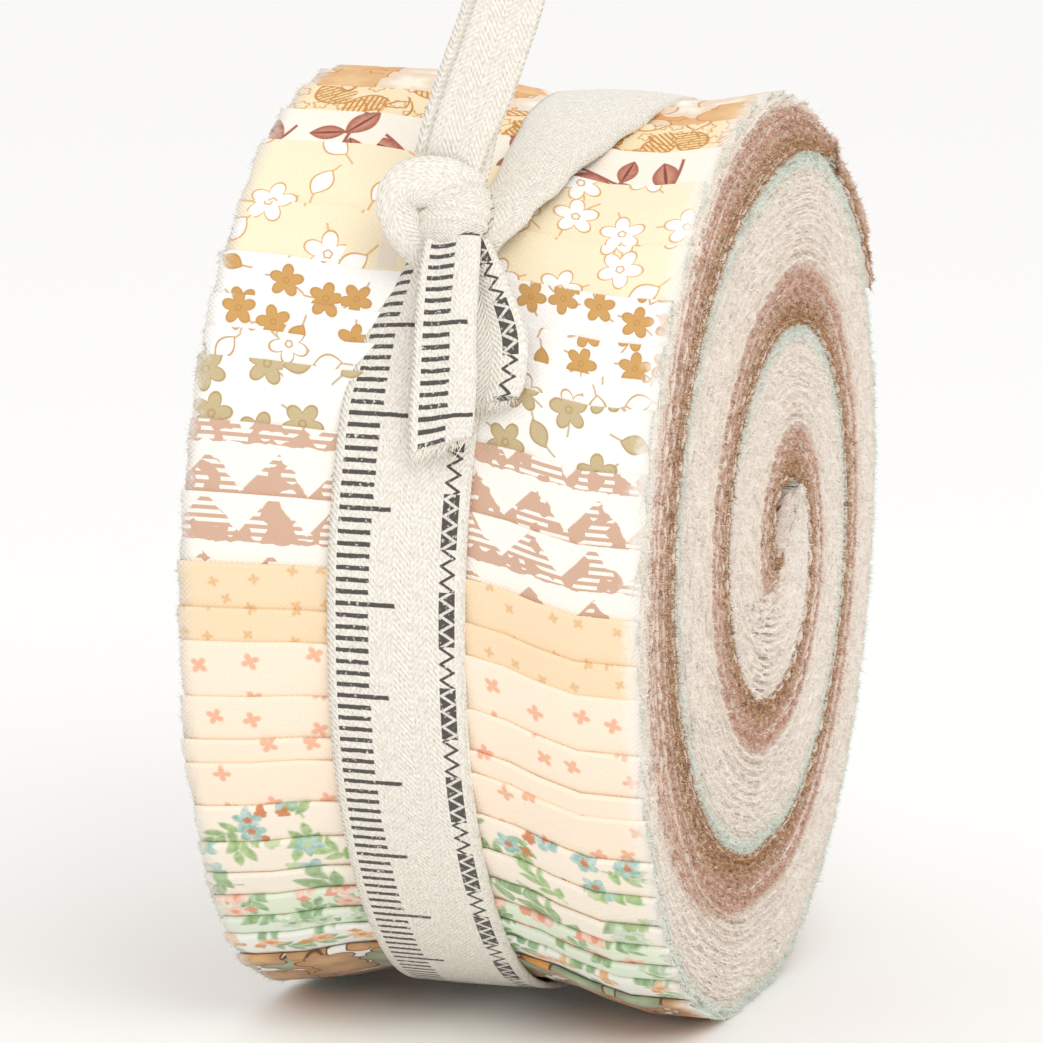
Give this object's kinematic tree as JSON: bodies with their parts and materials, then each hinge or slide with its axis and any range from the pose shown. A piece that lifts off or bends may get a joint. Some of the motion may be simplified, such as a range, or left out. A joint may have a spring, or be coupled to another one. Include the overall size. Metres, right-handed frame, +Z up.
{
  "type": "roll of quilting fabric strips",
  "caption": "Folded quilting cotton strips stacked and rolled into a wide wheel, stood on its rim and tied round the middle with twill tape that has a hanging loop.",
  "frame": {"origin": "on the surface that the roll stands on, under the centre of its outer box", "axes": "+X along the roll's axis towards the end that shows its spiral, +Z up to the hanging loop, -Y towards the side with the knot"},
  "size_m": [0.0666, 0.1308, 0.1537],
  "materials": {
    "quilting_cotton": "printed plain weave cotton, matte",
    "twill_tape": "natural cotton twill, matte"
  },
  "bodies": {
    "root": {"fabric_roll": "quilting_cotton", "loose_end": "quilting_cotton", "tape_band": "twill_tape", "tape_knot": "twill_tape", "tape_loop": "twill_tape"}
  },
  "joints": []
}
